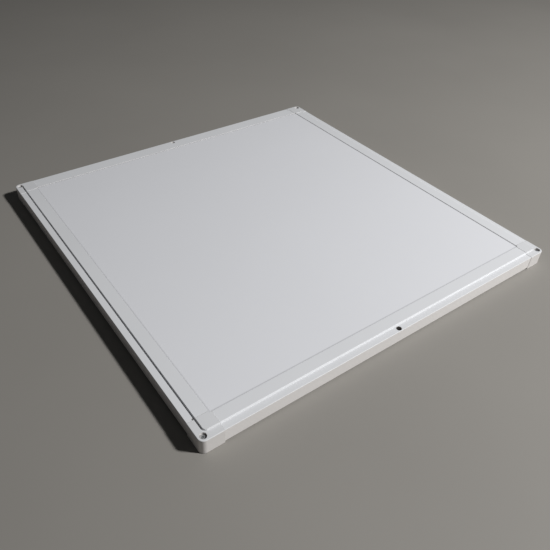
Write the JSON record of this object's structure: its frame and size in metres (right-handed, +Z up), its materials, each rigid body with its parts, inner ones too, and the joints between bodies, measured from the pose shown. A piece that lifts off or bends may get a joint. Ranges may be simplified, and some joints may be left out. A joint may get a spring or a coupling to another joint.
{
  "type": "led panel light",
  "caption": "Square flat LED ceiling panel: white framed opal diffuser, corner blocks, LED bars with lenses inside, rear power inlet and swing-out mounting ears.",
  "frame": {"origin": "centre of the square on the plane that the corner blocks' feet stand on", "axes": "+Z up out of the lit face; +X along the front rail; +Y from the front rail to the rear rail, which holds the power inlet"},
  "size_m": [0.595, 0.595, 0.0247],
  "materials": {
    "frame_white": "satin white powder coat",
    "corner_plastic": "satin white moulding",
    "screw_zinc": "zinc plated",
    "diffuser_opal": "opal, matt",
    "gasket_foam": "closed-cell foam",
    "reflector_white": "matt white",
    "plate_white": "satin white paint",
    "board_white": "white solder mask",
    "chip_phosphor": "phosphor",
    "lens_clear": "clear moulding",
    "nylon_white": "moulded",
    "post_clear": "clear moulding",
    "jumper_white": "wire insulation",
    "lead_red": "wire insulation",
    "lead_black": "wire insulation",
    "inlet_black": "moulded",
    "contact_metal": "plated",
    "ear_zinc": "zinc plated sheet",
    "rivet_steel": "plated",
    "label_silver": "blank film label"
  },
  "bodies": {
    "panel": {"back_plate": "plate_white", "bar_jumpers": "jumper_white", "board_rivets": "nylon_white", "bus_board": "board_white", "corner_block_front_left": "corner_plastic", "corner_block_front_right": "corner_plastic", "corner_block_rear_left": "corner_plastic", "corner_block_rear_right": "corner_plastic", "corner_nuts": "screw_zinc", "corner_screw_front_left": "screw_zinc", "corner_screw_front_right": "screw_zinc", "corner_screw_rear_left": "screw_zinc", "corner_screw_rear_right": "screw_zinc", "diffuser_gasket": "gasket_foam", "diffuser_panel": "diffuser_opal", "diffuser_posts": "post_clear", "ear_rivets": "rivet_steel", "ear_washers": "rivet_steel", "front_rail": "frame_white", "inlet_body": "inlet_black", "inlet_pin": "contact_metal", "inlet_screw": "screw_zinc", "inlet_terminals": "contact_metal", "lead_header": "nylon_white", "lead_plug": "nylon_white", "led_bar_1": "board_white", "led_bar_2": "board_white", "led_bar_3": "board_white", "led_bar_4": "board_white", "led_bar_5": "board_white", "led_bar_6": "board_white", "led_bar_7": "board_white", "led_bar_8": "board_white", "led_bar_9": "board_white", "led_chips": "chip_phosphor", "left_rail": "frame_white", "lens_row_1": "lens_clear", "lens_row_2": "lens_clear", "lens_row_3": "lens_clear", "lens_row_4": "lens_clear", "lens_row_5": "lens_clear", "lens_row_6": "lens_clear", "lens_row_7": "lens_clear", "lens_row_8": "lens_clear", "lens_row_9": "lens_clear", "rating_label": "label_silver", "rear_rail": "frame_white", "reflector_sheet": "reflector_white", "right_rail": "frame_white", "supply_lead_black": "lead_black", "supply_lead_red": "lead_red"},
    "ear_front_left": {"mount_ear_front_left": "ear_zinc"},
    "ear_front_right": {"mount_ear_front_right": "ear_zinc"},
    "ear_rear_left": {"mount_ear_rear_left": "ear_zinc"},
    "ear_rear_right": {"mount_ear_rear_right": "ear_zinc"}
  },
  "joints": [
    {"name": "ear_front_left_swing", "type": "hinge", "parent": "panel", "child": "ear_front_left", "pos_m": [-0.2901, -0.18, 0.0015], "axis": [0, 0, 1], "range_deg": [0, 90]},
    {"name": "ear_front_right_swing", "type": "hinge", "parent": "panel", "child": "ear_front_right", "pos_m": [0.2901, -0.18, 0.0015], "axis": [0, 0, -1], "range_deg": [0, 90]},
    {"name": "ear_rear_left_swing", "type": "hinge", "parent": "panel", "child": "ear_rear_left", "pos_m": [-0.2901, 0.18, 0.0015], "axis": [0, 0, -1], "range_deg": [0, 90]},
    {"name": "ear_rear_right_swing", "type": "hinge", "parent": "panel", "child": "ear_rear_right", "pos_m": [0.2901, 0.18, 0.0015], "axis": [0, 0, 1], "range_deg": [0, 90]}
  ]
}
